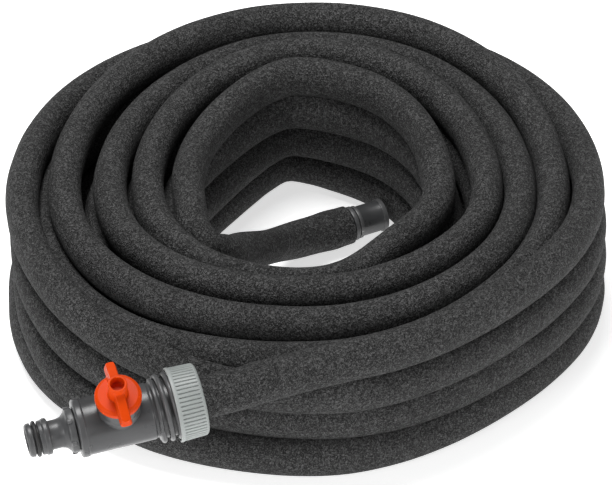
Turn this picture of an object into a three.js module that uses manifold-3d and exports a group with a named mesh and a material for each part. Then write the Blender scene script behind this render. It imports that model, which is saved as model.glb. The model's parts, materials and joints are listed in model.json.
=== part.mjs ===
// Coiled soaker hose with a quick-coupling inlet valve and a screw-on end cap.
// Millimetres, +Z up. The origin is the middle of the footprint, on the surface the coil lies on.
import * as THREE from 'three';
import { mergeVertices } from 'three/addons/utils/BufferGeometryUtils.js';
import Module from 'manifold-3d';

const wasm = await Module();
wasm.setup();

// ---- driving dimensions -------------------------------------------------------------------

const FIT = 0.3; // gap between pieces that would touch

// hose
const HOSE_RADIUS = 10;
const HOSE_BORE_RADIUS = 6.6;
const HOSE_SIDES = 12;
const TURN_HALF_WIDTH = 8.3; // the wall flattens sideways where the hose is coiled
const TURN_HALF_HEIGHT = 11;
const LAYER_PITCH = 20.3;
const LAYERS = 4;
const COIL_HEIGHT = 2 * TURN_HALF_HEIGHT + (LAYERS - 1) * LAYER_PITCH;

// coil, measured from its own centre
const COIL_CENTRE = new THREE.Vector3(0, 25.4, 0);
const COIL_HALF_X = 140.6 + TURN_HALF_WIDTH;
const COIL_HALF_Y = 144.6 + TURN_HALF_WIDTH;
const HOLE_CENTRE = new THREE.Vector3(3.6, 8.4, 0);
const HOLE_HALF_X = 56;
const HOLE_HALF_Y = 81;
const COIL_EDGE_RADIUS = 9;

// inlet fitting: its own x axis runs from the nut's rear face (0) to the spigot's tip
const FITTING_PLACE = new THREE.Vector3(-49.3, -168, 76);
const FITTING_YAW = 194.8;
const FITTING_DIP = 5.5;
const FITTING_ROLL = -21.3;
const FITTING_LENGTH = 84;
const FLOW_RADIUS = 4.2;
const BODY_RADIUS = 13.5;
const BODY_START = 24.4;
const BODY_END = 60.4;
const BODY_REAR = 8;
const KNOB_STATION = 39.4;
const CORE_RADIUS = 7.4;
const CORE_BOTTOM = -9.4;
const BOSS_RADIUS = 10.2;
const BOSS_TOP = 19.3;
const CORE_GAP = 0.4;
const CORE_SEAL_WIRE = 0.6;
const CORE_SEAL_RADIUS = 6.95;
const CORE_GROOVE_HALF = 0.9;
const UPPER_SEAL = 10.1;
const LOWER_SEAL = -7.7;
const PORT_POCKET_NEAR = 7;
const PORT_POCKET_FAR = 9.6;
const PORT_POCKET_RADIUS = 5.9;
const PORT_SEAL_NEAR = 7.9;
const PORT_SEAL_FAR = 9.3;
const STEM_RADIUS = 3.6;
const STEM_FLAT = 2.7;
const KNOB_RADIUS = 11;
const KNOB_BASE = 19.9;
const KNOB_SKIRT_TOP = 23.9;
const KNOB_TOP = 34.3;
const KNOB_SOCKET_TOP = KNOB_TOP - 6.4;
const KNOB_HOLE_RADIUS = 3.5;
const KNOB_HOLE_DEPTH = 5;
const HUB_RADIUS = 4.9;
const WING_HALF_SPAN = 17;
const WING_HALF_WIDTH = 2.9;
const WING_TIP_TOP = 26.2;
const WING_HUB_TOP = 31.2;

// clamp nut and its thread
const NUT_LENGTH = 14.1;
const NUT_MOUTH_RADIUS = 17.9;
const NUT_REAR_RADIUS = 16.9;
const NUT_BORE_RADIUS = 16.6;
const NUT_WALL_RADIUS = 16.9;
const NUT_RIB_ROOT = 17.1;
const NUT_RIB_CREST = 17.8;
const NUT_RIBS = 54;
const CLAMP_PITCH = 4;
const CLAMP_MALE_RADIUS = 15;
const CLAMP_MALE_RIDGE = 1.25;
const CLAMP_FEMALE_RADIUS = 16.3;
const CLAMP_FEMALE_RIDGE = 0.7;
const CLAMP_THREAD_START = BODY_REAR + 1.6;
const CLAMP_MALE_TURNS = 3.1;
const CLAMP_FEMALE_TURNS = 2.5;

// tail fitting: its own x axis runs from the flange's hose side to the cap's closed end
const TAIL_PLACE = new THREE.Vector3(23.9, 50.3, 10.5);
const TAIL_YAW = 26.6;
const FLANGE_RADIUS = 8.9;
const FLANGE_LENGTH = 2.4;
const CAP_START = 3.1;
const CAP_END = 17.4;
const CAP_PITCH = 2;
const TAIL_BARB_LENGTH = 16;
const NECK_GAP = 1;
const CAP_THREAD_START = FLANGE_LENGTH + 1.8;
const CAP_MALE_TURNS = 3;
const CAP_FEMALE_TURNS = 2;
const CAP_THREAD_RADIUS = 5.3;
const CAP_MALE_RIDGE = 0.5;
const CAP_FEMALE_RADIUS = 6.25;
const CAP_FEMALE_RIDGE = 0.3;

// uncoiled stretches, from the coil's centre; the coil's own turns lie inside the ring
const LEAD_BEND = [
  [-22.2, -157.6, 77],
  [-12.7, -152.6, 76],
  [-3.2, -147.5, 75],
  [15.7, -139.2, 73.8],
];
const TAIL_ROUTE = [
  [-59.4, 2, 72],
  [-57.9, -14.6, 72],
  [-55, -31, 69.5],
  [-48.6, -37, 63],
  [-41.2, -31.4, 54.5],
  [-32.9, -17.6, 44],
  [-22.4, -0.6, 32.5],
  [-12.4, 18.4, 21.5],
  [-1.4, 34.4, 13.5],
  [8.6, 42.4, 10.8],
];

// ---- helpers ------------------------------------------------------------------------------

const BLACK_RUBBER = { color: 0x1b1b1b, roughness: 0.85, metalness: 0 };
const HOSE_RUBBER = { color: 0x2b2b2b, roughness: 0.95, metalness: 0 };
const GREY_PLASTIC = { color: 0x5a5c5c, roughness: 0.45, metalness: 0 };
const LIGHT_PLASTIC = { color: 0xb4b8b6, roughness: 0.5, metalness: 0 };
const ORANGE_PLASTIC = { color: 0xf0571c, roughness: 0.45, metalness: 0 };
const DARK_PLASTIC = { color: 0x3d3f40, roughness: 0.5, metalness: 0 };
const WHITE_PLASTIC = { color: 0xd9d9d4, roughness: 0.5, metalness: 0 };

// A closed geometry as a solid: shared vertices merged, no degenerate faces, faces outwards.
function solid(geometry) {
  const plain = geometry.index ? geometry.toNonIndexed() : geometry.clone();
  plain.deleteAttribute('normal');
  plain.deleteAttribute('uv');
  const merged = mergeVertices(plain, 1e-4);
  const points = merged.attributes.position.array;
  const faces = [];
  let volume = 0;
  const a = new THREE.Vector3();
  const b = new THREE.Vector3();
  const c = new THREE.Vector3();
  for (let i = 0; i < merged.index.count; i += 3) {
    const [p, q, r] = [0, 1, 2].map((k) => merged.index.getX(i + k));
    if (p === q || q === r || r === p) continue;
    faces.push(p, q, r);
    a.fromArray(points, 3 * p);
    b.fromArray(points, 3 * q);
    c.fromArray(points, 3 * r);
    volume += a.dot(b.cross(c));
  }
  if (volume < 0) faces.reverse();
  const mesh = new wasm.Mesh({
    numProp: 3,
    vertProperties: new Float32Array(points),
    triVerts: new Uint32Array(faces),
  });
  return new wasm.Manifold(mesh);
}

function piece(name, body, look) {
  const mesh = body.getMesh();
  const geometry = new THREE.BufferGeometry();
  geometry.setAttribute('position', new THREE.BufferAttribute(new Float32Array(mesh.vertProperties), 3));
  geometry.setIndex(new THREE.BufferAttribute(new Uint32Array(mesh.triVerts), 1));
  geometry.computeVertexNormals();
  const result = new THREE.Mesh(geometry, new THREE.MeshStandardMaterial(look));
  result.name = name;
  return result;
}

// Turned body about the x axis. The profile is a closed loop of [x, radius] points.
function turned(profile, segments = 32) {
  const loop = [...profile, profile[0]].map(([x, radius]) => new THREE.Vector2(radius, x));
  const geometry = new THREE.LatheGeometry(loop, segments);
  geometry.rotateZ(-Math.PI / 2);
  return solid(geometry);
}

function sleeve(start, end, inner, outer, segments = 24) {
  return turned([[start, inner], [start, outer], [end, outer], [end, inner]], segments);
}

function rod(start, end, radius, segments = 24) {
  return turned([[start, 0], [start, radius], [end, radius], [end, 0]], segments);
}

// The same about the z axis at a station on the fitting's x axis.
function upright(body, station) {
  return body.rotate([0, -90, 0]).translate([station, 0, 0]);
}

function torus(station, ringRadius, wireRadius) {
  const geometry = new THREE.TorusGeometry(ringRadius, wireRadius, 6, 24);
  geometry.rotateY(Math.PI / 2);
  geometry.translate(station, 0, 0);
  return solid(geometry);
}

const RIDGE_STEPS = 16; // along one turn of a thread

class Helix extends THREE.Curve {
  constructor(start, turns, pitch, radius, phase) {
    super();
    Object.assign(this, { start, turns, pitch, radius, phase });
  }

  getPoint(t, target = new THREE.Vector3()) {
    const angle = 2 * Math.PI * (t * this.turns + this.phase);
    const x = this.start + t * this.turns * this.pitch;
    return target.set(x, this.radius * Math.cos(angle), this.radius * Math.sin(angle));
  }
}

// Rounded right-hand thread ridge about the x axis.
function ridge(start, turns, pitch, radius, wire, phase = 0) {
  const section = new THREE.Shape();
  section.absarc(0, 0, wire, 0, 2 * Math.PI, false);
  const path = new Helix(start, turns, pitch, radius, phase);
  const steps = Math.round(RIDGE_STEPS * turns);
  return solid(new THREE.ExtrudeGeometry(section, { steps, curveSegments: 3, extrudePath: path }));
}

// Round hose or its clearance along a route.
function tube(points, outer, inner) {
  const path = new THREE.CatmullRomCurve3(points, false, 'centripetal');
  const section = new THREE.Shape();
  section.absarc(0, 0, outer, 0, 2 * Math.PI, false);
  if (inner > 0) {
    const bore = new THREE.Path();
    bore.absarc(0, 0, inner, 0, 2 * Math.PI, true);
    section.holes.push(bore);
  }
  const steps = Math.ceil(path.getLength() / (1.1 * HOSE_RADIUS));
  const curveSegments = HOSE_SIDES / 2;
  return solid(new THREE.ExtrudeGeometry(section, { steps, curveSegments, extrudePath: path }));
}

// ---- placing ------------------------------------------------------------------------------

const coilFrame = new THREE.Group();
coilFrame.position.copy(COIL_CENTRE);

const fittingFrame = new THREE.Group();
fittingFrame.position.copy(FITTING_PLACE);
fittingFrame.rotation.order = 'ZYX';
fittingFrame.rotation.set(
  THREE.MathUtils.degToRad(FITTING_ROLL),
  THREE.MathUtils.degToRad(FITTING_DIP),
  THREE.MathUtils.degToRad(FITTING_YAW),
);
fittingFrame.updateMatrix();

const tailFrame = new THREE.Group();
tailFrame.position.copy(TAIL_PLACE);
tailFrame.rotation.z = THREE.MathUtils.degToRad(TAIL_YAW);
tailFrame.updateMatrix();

const fromFitting = (x) => new THREE.Vector3(x, 0, 0).applyMatrix4(fittingFrame.matrix);
const fromTail = (x) => new THREE.Vector3(x, 0, 0).applyMatrix4(tailFrame.matrix);
const at = ([x, y, z]) => new THREE.Vector3(x, y, z);

// ---- hose ---------------------------------------------------------------------------------

const HOSE_SEAT = 19.3; // where the hose's end stops on the barb, in the fitting's frame
const leadPoints = [
  fromFitting(HOSE_SEAT),
  fromFitting(HOSE_SEAT / 2),
  fromFitting(0),
  fromFitting(-9),
  fromFitting(-18),
  ...LEAD_BEND.map(at),
];
const tailPoints = [...TAIL_ROUTE.map(at), fromTail(-7), fromTail(-NECK_GAP)];

// A route made longer at one end, so that a clearance cut with it passes the hose's end face.
function longer(points, atStart) {
  const end = atStart ? points[0] : points[points.length - 1];
  const next = atStart ? points[1] : points[points.length - 2];
  const extra = end.clone().addScaledVector(end.clone().sub(next).normalize(), FIT);
  return atStart ? [extra, ...points] : [...points, extra];
}

function hoseLead() {
  return tube(leadPoints, HOSE_RADIUS, HOSE_BORE_RADIUS);
}

function hoseTail() {
  return tube(tailPoints, HOSE_RADIUS, HOSE_BORE_RADIUS);
}

// Rounded disc with the coil's outer outline and an oval hole, grooved for the loose ends.
function hoseCoil() {
  const r = COIL_EDGE_RADIUS;
  const profile = [new THREE.Vector2(0, 0), new THREE.Vector2(1 - r / COIL_HALF_X, 0)];
  for (const [centre, first] of [[r, -90], [COIL_HEIGHT - r, 0]]) {
    for (let angle = first; angle <= first + 90; angle += 30) {
      const turn = THREE.MathUtils.degToRad(angle);
      const radius = 1 - (r / COIL_HALF_X) * (1 - Math.cos(turn));
      profile.push(new THREE.Vector2(radius, centre + r * Math.sin(turn)));
    }
  }
  profile.push(new THREE.Vector2(0, COIL_HEIGHT));
  const disc = new THREE.LatheGeometry(profile, 60);
  disc.scale(COIL_HALF_X, 1, COIL_HALF_Y);
  disc.rotateX(Math.PI / 2);
  const hole = new THREE.CylinderGeometry(1, 1, 2 * COIL_HEIGHT, 40);
  hole.scale(HOLE_HALF_X, 1, HOLE_HALF_Y);
  hole.rotateX(Math.PI / 2);
  hole.translate(HOLE_CENTRE.x, HOLE_CENTRE.y, COIL_HEIGHT / 2);
  const groove = HOSE_RADIUS + 2 * FIT;
  return solid(disc)
    .subtract(solid(hole))
    .subtract(tube(longer(leadPoints, false), groove, 0))
    .subtract(tube(longer(tailPoints, true), groove, 0));
}

// ---- inlet fitting ------------------------------------------------------------------------

const tip = (distance) => FITTING_LENGTH - distance;

function spigot() {
  const outline = [
    [tip(0), FLOW_RADIUS + 1.6],
    [tip(0), 7.2],
    [tip(0.9), 8],
    [tip(3.1), 8.1],
    [tip(3.1), 6.9],
    [tip(5.5), 6.9],
    [tip(5.5), 8.2],
    [tip(8.1), 8.2],
    [tip(8.4), 8.6],
    [tip(10.4), 8.6],
    [tip(10.9), 8],
    [tip(11), 6.9],
    [tip(15.5), 6.9],
    [tip(17.6), 7.6],
    [tip(19.2), 9],
    [tip(19.9), 10.2],
    [tip(22.4), 10.2],
    [tip(22.4), 7.6],
    [BODY_END - 8, 7.6],
    [BODY_END - 8, FLOW_RADIUS],
    [tip(2.5), FLOW_RADIUS],
  ];
  let body = turned(outline);
  for (let lug = 0; lug < 6; lug += 1) {
    const block = new THREE.BoxGeometry(3.4, 1.6, 4.2);
    block.translate(tip(20.6), 0, 9.8);
    block.rotateX(THREE.MathUtils.degToRad(60 * lug - 5));
    body = body.add(solid(block));
  }
  return body;
}

function spigotORing() {
  return torus(tip(4.3), 7.85, 0.7);
}

function spigotSeal() {
  return sleeve(BODY_END + 0.25, tip(22.4) - 0.25, 7.9, 9.8);
}

function valveHousing() {
  const outline = [
    [BODY_REAR, 11.9],
    [BODY_REAR, 14],
    [BODY_REAR + 0.7, 14.7],
    [BODY_START - 1, 14.7],
    [BODY_START, 14],
    [BODY_START, BODY_RADIUS],
    [BODY_END - 3.6, BODY_RADIUS - 0.2],
    [BODY_END - 3.3, BODY_RADIUS + 0.4],
    [BODY_END - 0.8, BODY_RADIUS + 0.4],
    [BODY_END, BODY_RADIUS - 0.5],
    [BODY_END, 8],
    [BODY_END - 8.4, 8],
    [BODY_END - 8.4, FLOW_RADIUS],
    [26.4, FLOW_RADIUS],
    [26.4, 11.9],
  ];
  const boss = upright(rod(0, BOSS_TOP, BOSS_RADIUS), KNOB_STATION);
  const cavity = upright(rod(CORE_BOTTOM - CORE_GAP, BOSS_TOP + 1, CORE_RADIUS + CORE_GAP), KNOB_STATION);
  const retainerGroove = upright(rod(BOSS_TOP - 2.2, BOSS_TOP - 0.7, 9.1), KNOB_STATION);
  const flow = rod(20, BODY_END + 5, FLOW_RADIUS);
  const pocket = rod(PORT_POCKET_NEAR, PORT_POCKET_FAR, PORT_POCKET_RADIUS);
  const pocketInlet = pocket.translate([KNOB_STATION, 0, 0]);
  const pocketOutlet = pocket.translate([KNOB_STATION - PORT_POCKET_NEAR - PORT_POCKET_FAR, 0, 0]);
  const thread = ridge(
    CLAMP_THREAD_START,
    CLAMP_MALE_TURNS,
    CLAMP_PITCH,
    CLAMP_MALE_RADIUS,
    CLAMP_MALE_RIDGE,
  );
  return turned(outline)
    .add(boss)
    .add(thread)
    .subtract(flow)
    .subtract(cavity)
    .subtract(retainerGroove)
    .subtract(pocketInlet)
    .subtract(pocketOutlet);
}

function valveCore() {
  const barrel = rod(CORE_BOTTOM, BOSS_TOP - 2.6, CORE_RADIUS);
  const [lowerGroove, upperGroove] = [LOWER_SEAL, UPPER_SEAL].map((height) => {
    const inner = CORE_SEAL_RADIUS - CORE_SEAL_WIRE - 0.05;
    return sleeve(height - CORE_GROOVE_HALF, height + CORE_GROOVE_HALF, inner, CORE_RADIUS + 1);
  });
  const stem = rod(0, KNOB_SOCKET_TOP - CORE_GAP, STEM_RADIUS);
  const flats = [-1, 1].map((side) => {
    const flat = new THREE.BoxGeometry(KNOB_SOCKET_TOP + CORE_GAP - BOSS_TOP, 2, 3 * STEM_RADIUS);
    flat.translate((KNOB_SOCKET_TOP + CORE_GAP + BOSS_TOP) / 2, side * (STEM_FLAT + 1), 0);
    return solid(flat);
  });
  const crossBore = rod(-CORE_RADIUS - 1, CORE_RADIUS + 1, FLOW_RADIUS);
  const core = upright(
    barrel.add(stem).subtract(lowerGroove).subtract(upperGroove).subtract(flats[0]).subtract(flats[1]),
    0,
  );
  // shut at rest: the cross bore lies across the flow
  return core.subtract(crossBore.rotate([0, 0, 90])).translate([KNOB_STATION, 0, 0]);
}

function coreORing(height) {
  return upright(torus(height, CORE_SEAL_RADIUS, CORE_SEAL_WIRE), KNOB_STATION);
}

function portSeal(side) {
  const near = KNOB_STATION + side * PORT_SEAL_NEAR;
  const far = KNOB_STATION + side * PORT_SEAL_FAR;
  return sleeve(Math.min(near, far), Math.max(near, far), FLOW_RADIUS + 0.2, 5.6);
}

function coreRetainer() {
  return upright(sleeve(BOSS_TOP - 2, BOSS_TOP - 0.9, STEM_RADIUS + CORE_GAP, 8.8), KNOB_STATION);
}

function valveKnob() {
  const skirt = turned([
    [KNOB_BASE, 0],
    [KNOB_BASE, KNOB_RADIUS - 0.4],
    [KNOB_BASE + 0.5, KNOB_RADIUS],
    [KNOB_SKIRT_TOP - 1, KNOB_RADIUS],
    [KNOB_SKIRT_TOP, KNOB_RADIUS - 1.2],
    [KNOB_SKIRT_TOP, 0],
  ]);
  const hub = turned([
    [KNOB_BASE + 1, 0],
    [KNOB_BASE + 1, HUB_RADIUS + 0.5],
    [KNOB_TOP - 0.6, HUB_RADIUS],
    [KNOB_TOP, HUB_RADIUS - 0.6],
    [KNOB_TOP, 0],
  ]);
  const hole = rod(KNOB_TOP - KNOB_HOLE_DEPTH, KNOB_TOP + 1, KNOB_HOLE_RADIUS);
  const socket = rod(KNOB_BASE - 1, KNOB_SOCKET_TOP, STEM_RADIUS + FIT);
  const keys = [-1, 1].map((side) => {
    const key = new THREE.BoxGeometry(KNOB_SOCKET_TOP - KNOB_BASE, 1, 2 * STEM_RADIUS);
    key.translate((KNOB_SOCKET_TOP + KNOB_BASE) / 2, side * (STEM_FLAT + FIT + 0.5), 0);
    return solid(key);
  });
  const inside = upright(hole.add(socket.subtract(keys[0]).subtract(keys[1])), 0);
  return upright(skirt.add(hub), 0)
    .add(wings())
    .subtract(inside)
    .translate([KNOB_STATION, 0, 0]);
}

// The grip bar lies across the flow at rest; its ends are round and its top falls to them.
function wings() {
  const side = new THREE.Shape();
  side.moveTo(-WING_HALF_SPAN - 1, KNOB_BASE + 0.8);
  side.lineTo(-WING_HALF_SPAN - 1, WING_TIP_TOP);
  side.lineTo(-HUB_RADIUS, WING_HUB_TOP);
  side.lineTo(HUB_RADIUS, WING_HUB_TOP);
  side.lineTo(WING_HALF_SPAN + 1, WING_TIP_TOP);
  side.lineTo(WING_HALF_SPAN + 1, KNOB_BASE + 0.8);
  const slab = new THREE.ExtrudeGeometry(side, { depth: 12, bevelEnabled: false });
  slab.translate(0, 0, -6);
  slab.rotateX(Math.PI / 2);
  slab.rotateZ(Math.PI / 2);
  const plan = new THREE.Shape();
  const straight = WING_HALF_SPAN - WING_HALF_WIDTH;
  plan.absarc(0, straight, WING_HALF_WIDTH, 0, Math.PI, false);
  plan.absarc(0, -straight, WING_HALF_WIDTH, Math.PI, 2 * Math.PI, false);
  const bar = new THREE.ExtrudeGeometry(plan, { depth: 20, bevelEnabled: false, curveSegments: 8 });
  bar.translate(0, 0, KNOB_BASE - 4);
  return solid(slab).intersect(solid(bar));
}

function hoseBarb() {
  const outline = [
    [3, FLOW_RADIUS],
    [3, 4.9],
    [6, 5.9],
    [6.2, 5.3],
    [9.5, 5.9],
    [9.7, 5.3],
    [13, 5.9],
    [13.2, 5.3],
    [20.2, 5.3],
    [20.2, 11.4],
    [22.6, 11.4],
    [22.6, FLOW_RADIUS],
  ];
  return turned(outline);
}

function barbSeal() {
  return sleeve(23, 26, FLOW_RADIUS + 0.3, 11.2);
}

function gripRing() {
  const outline = [
    [3.1, HOSE_RADIUS + 0.4],
    [3.1, 13.4],
    [7, 13.4],
    [7, 11.5],
    [17.5, 11.5],
    [18.6, 11],
    [18.6, HOSE_RADIUS + 0.4],
  ];
  return turned(outline);
}

function clampNut() {
  const outline = [
    [0, HOSE_RADIUS + 0.7],
    [0, NUT_REAR_RADIUS - 2.4],
    [0.7, NUT_REAR_RADIUS - 1],
    [2.2, NUT_WALL_RADIUS],
    [NUT_LENGTH - 2.4, NUT_WALL_RADIUS],
    [NUT_LENGTH - 2, NUT_MOUTH_RADIUS],
    [NUT_LENGTH - 0.5, NUT_MOUTH_RADIUS],
    [NUT_LENGTH, NUT_MOUTH_RADIUS - 0.5],
    [NUT_LENGTH, NUT_BORE_RADIUS],
    [2.7, NUT_BORE_RADIUS],
    [2.7, HOSE_RADIUS + 0.7],
  ];
  const ribs = new THREE.Shape();
  for (let i = 0; i < 2 * NUT_RIBS; i += 1) {
    const angle = (Math.PI * i) / NUT_RIBS;
    const radius = i % 2 ? NUT_RIB_CREST : NUT_RIB_ROOT;
    const point = [radius * Math.cos(angle), radius * Math.sin(angle)];
    if (i) ribs.lineTo(...point);
    else ribs.moveTo(...point);
  }
  const bore = new THREE.Path();
  bore.absarc(0, 0, (NUT_BORE_RADIUS + NUT_WALL_RADIUS) / 2, 0, 2 * Math.PI, true);
  ribs.holes.push(bore);
  const band = new THREE.ExtrudeGeometry(ribs, {
    depth: NUT_LENGTH - 4.8,
    bevelEnabled: false,
    curveSegments: 16,
  });
  band.rotateY(Math.PI / 2);
  band.translate(2.6, 0, 0);
  // the inner ridge runs midway between the housing's ridges
  const turns = CLAMP_FEMALE_TURNS;
  const start = NUT_LENGTH - 0.9 - turns * CLAMP_PITCH;
  const offset = (start - CLAMP_THREAD_START) / CLAMP_PITCH;
  const phase = offset + 0.5;
  const inner = ridge(start, turns, CLAMP_PITCH, CLAMP_FEMALE_RADIUS, CLAMP_FEMALE_RIDGE, phase);
  return turned(outline).add(solid(band)).add(inner);
}

// ---- tail fitting -------------------------------------------------------------------------

function tailPlug() {
  const outline = [
    [-TAIL_BARB_LENGTH, 3.4],
    [-TAIL_BARB_LENGTH, 4.9],
    [-13, 5.8],
    [-12.8, 5.2],
    [-9.5, 5.8],
    [-9.3, 5.2],
    [-6, 5.8],
    [-5.8, 5.2],
    [-NECK_GAP, 5.2],
    [0, 7.4],
    [0.3, FLANGE_RADIUS],
    [FLANGE_LENGTH - 0.3, FLANGE_RADIUS],
    [FLANGE_LENGTH, FLANGE_RADIUS - 0.4],
    [FLANGE_LENGTH, CAP_THREAD_RADIUS],
    [13, CAP_THREAD_RADIUS],
    [13.6, CAP_THREAD_RADIUS - 0.6],
    [13.6, 3.4],
  ];
  const thread = ridge(CAP_THREAD_START, CAP_MALE_TURNS, CAP_PITCH, CAP_THREAD_RADIUS, CAP_MALE_RIDGE);
  return turned(outline).add(thread);
}

function endCapSeal() {
  return sleeve(FLANGE_LENGTH + 0.1, CAP_START - 0.1, 6.2, 8);
}

function endCap() {
  const outline = [
    [CAP_START, 6.5],
    [CAP_START, 8.5],
    [CAP_START + 1.2, 8.5],
    [CAP_START + 1.4, 8.15],
    [CAP_END - 2.6, 7.9],
    [CAP_END - 2.3, 8.3],
    [CAP_END - 0.6, 8.3],
    [CAP_END, 7.7],
    [CAP_END, 0],
    [CAP_END - 2.6, 0],
    [CAP_END - 2.6, 6.5],
  ];
  const turns = CAP_FEMALE_TURNS;
  const start = CAP_START + 0.8;
  const offset = (start - CAP_THREAD_START) / CAP_PITCH;
  const phase = offset + 0.5;
  const inner = ridge(start, turns, CAP_PITCH, CAP_FEMALE_RADIUS, CAP_FEMALE_RIDGE, phase);
  return turned(outline).add(inner);
}

// ---- assembly -----------------------------------------------------------------------------

fittingFrame.add(
  piece('spigot', spigot(), GREY_PLASTIC),
  piece('spigot_o_ring', spigotORing(), BLACK_RUBBER),
  piece('spigot_seal', spigotSeal(), BLACK_RUBBER),
  piece('valve_housing', valveHousing(), GREY_PLASTIC),
  piece('valve_core', valveCore(), WHITE_PLASTIC),
  piece('core_o_ring_upper', coreORing(UPPER_SEAL), BLACK_RUBBER),
  piece('core_o_ring_lower', coreORing(LOWER_SEAL), BLACK_RUBBER),
  piece('port_seal_inlet', portSeal(1), BLACK_RUBBER),
  piece('port_seal_outlet', portSeal(-1), BLACK_RUBBER),
  piece('core_retainer', coreRetainer(), WHITE_PLASTIC),
  piece('valve_knob', valveKnob(), ORANGE_PLASTIC),
  piece('hose_barb', hoseBarb(), GREY_PLASTIC),
  piece('barb_seal', barbSeal(), BLACK_RUBBER),
  piece('grip_ring', gripRing(), WHITE_PLASTIC),
  piece('clamp_nut', clampNut(), LIGHT_PLASTIC),
);

tailFrame.add(
  piece('tail_plug', tailPlug(), DARK_PLASTIC),
  piece('end_cap_seal', endCapSeal(), BLACK_RUBBER),
  piece('end_cap', endCap(), DARK_PLASTIC),
);

coilFrame.add(
  piece('hose_coil', hoseCoil(), HOSE_RUBBER),
  piece('hose_lead', hoseLead(), HOSE_RUBBER),
  piece('hose_tail', hoseTail(), HOSE_RUBBER),
  fittingFrame,
  tailFrame,
);

const group = new THREE.Group();
group.add(coilFrame);

export default group;
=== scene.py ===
"""Coiled soaker hose with an inlet valve and an end cap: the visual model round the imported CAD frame."""
import json
import math

import bmesh
import bpy
from mathutils import Matrix, Vector


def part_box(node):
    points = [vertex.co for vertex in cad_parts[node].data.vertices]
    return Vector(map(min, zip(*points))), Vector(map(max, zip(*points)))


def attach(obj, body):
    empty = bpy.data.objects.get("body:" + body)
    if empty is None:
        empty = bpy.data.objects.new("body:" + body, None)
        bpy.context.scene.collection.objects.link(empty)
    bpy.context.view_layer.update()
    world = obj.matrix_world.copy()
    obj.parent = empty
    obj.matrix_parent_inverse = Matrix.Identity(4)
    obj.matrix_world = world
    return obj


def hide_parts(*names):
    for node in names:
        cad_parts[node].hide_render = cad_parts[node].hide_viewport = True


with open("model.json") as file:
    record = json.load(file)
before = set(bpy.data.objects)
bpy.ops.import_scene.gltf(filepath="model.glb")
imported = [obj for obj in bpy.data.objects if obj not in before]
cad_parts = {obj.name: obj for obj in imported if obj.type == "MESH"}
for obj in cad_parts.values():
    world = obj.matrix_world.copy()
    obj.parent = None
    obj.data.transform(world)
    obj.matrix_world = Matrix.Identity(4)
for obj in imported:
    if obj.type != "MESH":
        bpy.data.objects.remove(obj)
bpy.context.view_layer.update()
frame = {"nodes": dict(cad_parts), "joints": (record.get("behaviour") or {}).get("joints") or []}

MM = 0.001
ROOT = "hose_and_valve_body"

# ---- frames of the two fittings, from the joints -------------------------------------------


def joint(name):
    return next(j for j in frame["joints"] if j["name"] == name)


def own_frame(origin, x_axis, z_axis):
    """Matrix of a part's own frame, in millimetres, with x and z along the given axes."""
    x = Vector(x_axis).normalized()
    z = Vector(z_axis)
    z = (z - x * z.dot(x)).normalized()
    y = z.cross(x)
    turn = Matrix((x, y, z)).transposed().to_4x4()
    return Matrix.Translation(Vector(origin)) @ turn @ Matrix.Scale(MM, 4)


NUT_JOINT = joint("nut_turn")
KNOB_JOINT = joint("knob_turn")
CAP_JOINT = joint("cap_turn")
TO_TIP = -Vector(NUT_JOINT["axis"])
# x runs from the nut's rear face to the spigot's tip, z up through the knob
FITTING = own_frame(NUT_JOINT["pos_m"], TO_TIP, KNOB_JOINT["axis"])
KNOB = own_frame(KNOB_JOINT["pos_m"], TO_TIP, KNOB_JOINT["axis"])
# x runs from the plug's flange to the cap's closed end
TAIL = own_frame(CAP_JOINT["pos_m"], CAP_JOINT["axis"], (0, 0, 1))

COIL_LOW, COIL_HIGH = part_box("hose_coil")
COIL_CENTRE = Vector(((COIL_LOW.x + COIL_HIGH.x) / 2, (COIL_LOW.y + COIL_HIGH.y) / 2, 0))

# ---- hose: driving sizes, in metres --------------------------------------------------------

HOSE_DIAMETER = 0.020
HOSE_RADIUS = HOSE_DIAMETER / 2
HOSE_BORE_RADIUS = 0.0066
COILED_HALF_WIDTH = 0.0083  # the wall flattens sideways in the coil
COILED_HALF_HEIGHT = 0.0108
OVAL_FROM = 0.05  # distance from an end at which the section starts to flatten
OVAL_OVER = 0.08
PINCH = 0.0012  # where the tail turns down to the floor
PINCH_FROM_END = 0.062
PINCH_WIDTH = 0.026
SWELL = 0.0005  # over the tail plug's barb
SWELL_FROM_END = 0.009
SWELL_WIDTH = 0.006
RING_SPACING = 0.0026
RING_SIDES = 24
TURN_STEPS = 36  # route points along one turn
CURVE_STEPS = 8  # fine steps between two route points
BORE_RINGS = 4  # how many ring spacings the bore is open at each end
# the wall's slight unevenness: depth, radians per metre along the hose, phase
WAVES = ((0.00016, 61, 0), (0.00012, 143, 1))

# route points given from the coil's centre: the hose's way into the coil and out of it
LEAD_BEND = [
    (-0.0222, -0.1576, 0.0770),
    (-0.0127, -0.1526, 0.0760),
    (-0.0032, -0.1475, 0.0750),
    (0.0157, -0.1392, 0.0738),
]
TAIL_ROUTE = [
    (-0.0594, 0.0020, 0.0720),
    (-0.0579, -0.0146, 0.0720),
    (-0.0560, -0.0305, 0.0694),
    (-0.0488, -0.0385, 0.0626),
    (-0.0405, -0.0322, 0.0541),
    (-0.0329, -0.0160, 0.0440),
    (-0.0224, 0.0012, 0.0325),
    (-0.0124, 0.0194, 0.0215),
    (-0.0014, 0.0344, 0.0135),
    (0.0086, 0.0424, 0.0108),
]
# its straight ends, on the axes of the two fittings and in their millimetres
LEAD_STATIONS = (19.3, 9.65, 0, -9, -18)
TAIL_STATIONS = (-8, -3)

# heights of the coil's layers from the top one down
LAYER_HEIGHTS = (0.0719, 0.0516, 0.0313, 0.0110)
COLUMNS = 4  # steps from the outermost turn of a lower layer to its innermost one
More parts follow.
